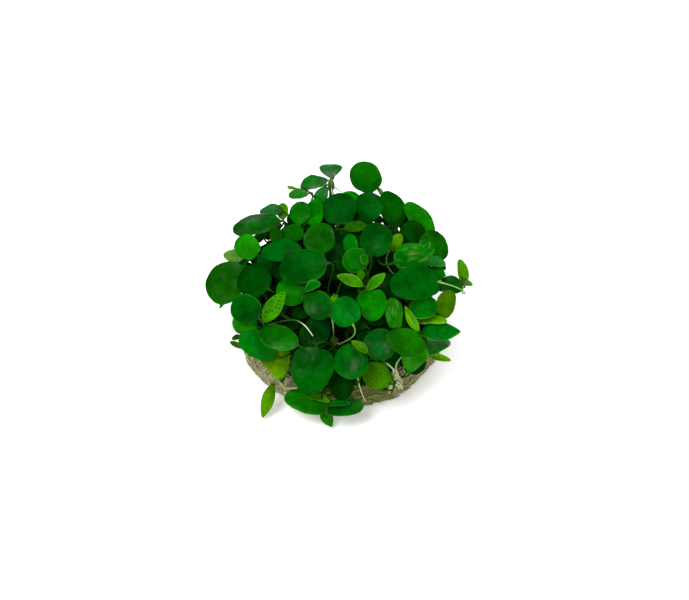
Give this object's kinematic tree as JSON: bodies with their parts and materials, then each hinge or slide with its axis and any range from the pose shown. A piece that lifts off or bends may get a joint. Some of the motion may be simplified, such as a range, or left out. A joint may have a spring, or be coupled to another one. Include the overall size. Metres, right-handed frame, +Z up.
{
  "type": "amazon frogbit",
  "caption": "Clump of young floating water plants with small round glossy leaves on short stalks, standing on a round felted pad of their own roots.",
  "frame": {"origin": "centre of the root pad's flat underside", "axes": "+Z up, away from the surface that the pad rests on; -Y toward the pictured side; +X to the picture's right"},
  "size_m": [0.0726, 0.0706, 0.0455],
  "materials": {
    "crown": "moist, satin",
    "leaf_deep": "waxy, smooth, softly glossy",
    "leaf_fresh": "waxy, smooth, softly glossy",
    "leaf_lime": "young, thin and satin",
    "leaf_mid": "waxy, smooth, softly glossy",
    "leaf_mottled": "waxy with pale patches",
    "leaf_olive": "thin and satin, light shows through",
    "root_pad": "matt, fibrous"
  },
  "bodies": {
    "root": {"root_pad": "root_pad", "leaf_crest_round": "leaf_deep", "leaf_crest_flat": "leaf_mid", "leaf_crest_side": "leaf_mid", "leaf_crest_upright": "leaf_mid", "leaf_upper_mid": "leaf_deep", "leaf_upper_dark": "leaf_deep", "leaf_upper_tall": "leaf_deep", "leaf_upper_right": "leaf_fresh", "leaf_edge_right": "leaf_deep", "leaf_mottled": "leaf_mottled", "leaf_broad_right": "leaf_deep", "leaf_runner_leaf": "leaf_deep", "leaf_pointed": "leaf_deep", "leaf_pointed_under": "leaf_mid", "leaf_right_green": "leaf_mid", "leaf_lime_fold": "leaf_lime", "leaf_mid_round": "leaf_deep", "leaf_mid_curl": "leaf_mid", "leaf_heart": "leaf_fresh", "leaf_mid_low": "leaf_mid", "leaf_mid_left": "leaf_mid", "leaf_left_round": "leaf_mid", "leaf_left_strips": "leaf_mid", "leaf_wing": "leaf_deep", "leaf_bright_left": "leaf_fresh", "leaf_big_left": "leaf_deep", "leaf_dark_left": "leaf_deep", "leaf_crest_left": "leaf_deep", "leaf_broad_left": "leaf_mid", "leaf_speckled": "leaf_lime", "leaf_low_left": "leaf_mid", "leaf_bright_low": "leaf_fresh", "leaf_shelf_left": "leaf_mid", "leaf_olive_low": "leaf_olive", "leaf_broad_front": "leaf_deep", "leaf_apron": "leaf_mid", "leaf_front_grey": "leaf_mid", "leaf_gloss_front": "leaf_mid", "leaf_front_round": "leaf_mid", "leaf_front_right": "leaf_mid", "crown_low_front": "crown", "crown_front_left": "crown", "crown_hollow": "crown", "crown_front": "crown", "crown_front_right": "crown", "crown_rim": "crown", "crown_left": "crown", "crown_far_left": "crown", "crown_centre": "crown", "crown_vee": "crown", "crown_right": "crown", "crown_upper_left": "crown", "crown_upper": "crown", "crown_upper_right": "crown", "crown_crest": "crown", "crown_runner": "crown", "crown_back_left": "crown", "crown_back": "crown", "crown_back_right": "crown"}
  },
  "joints": []
}
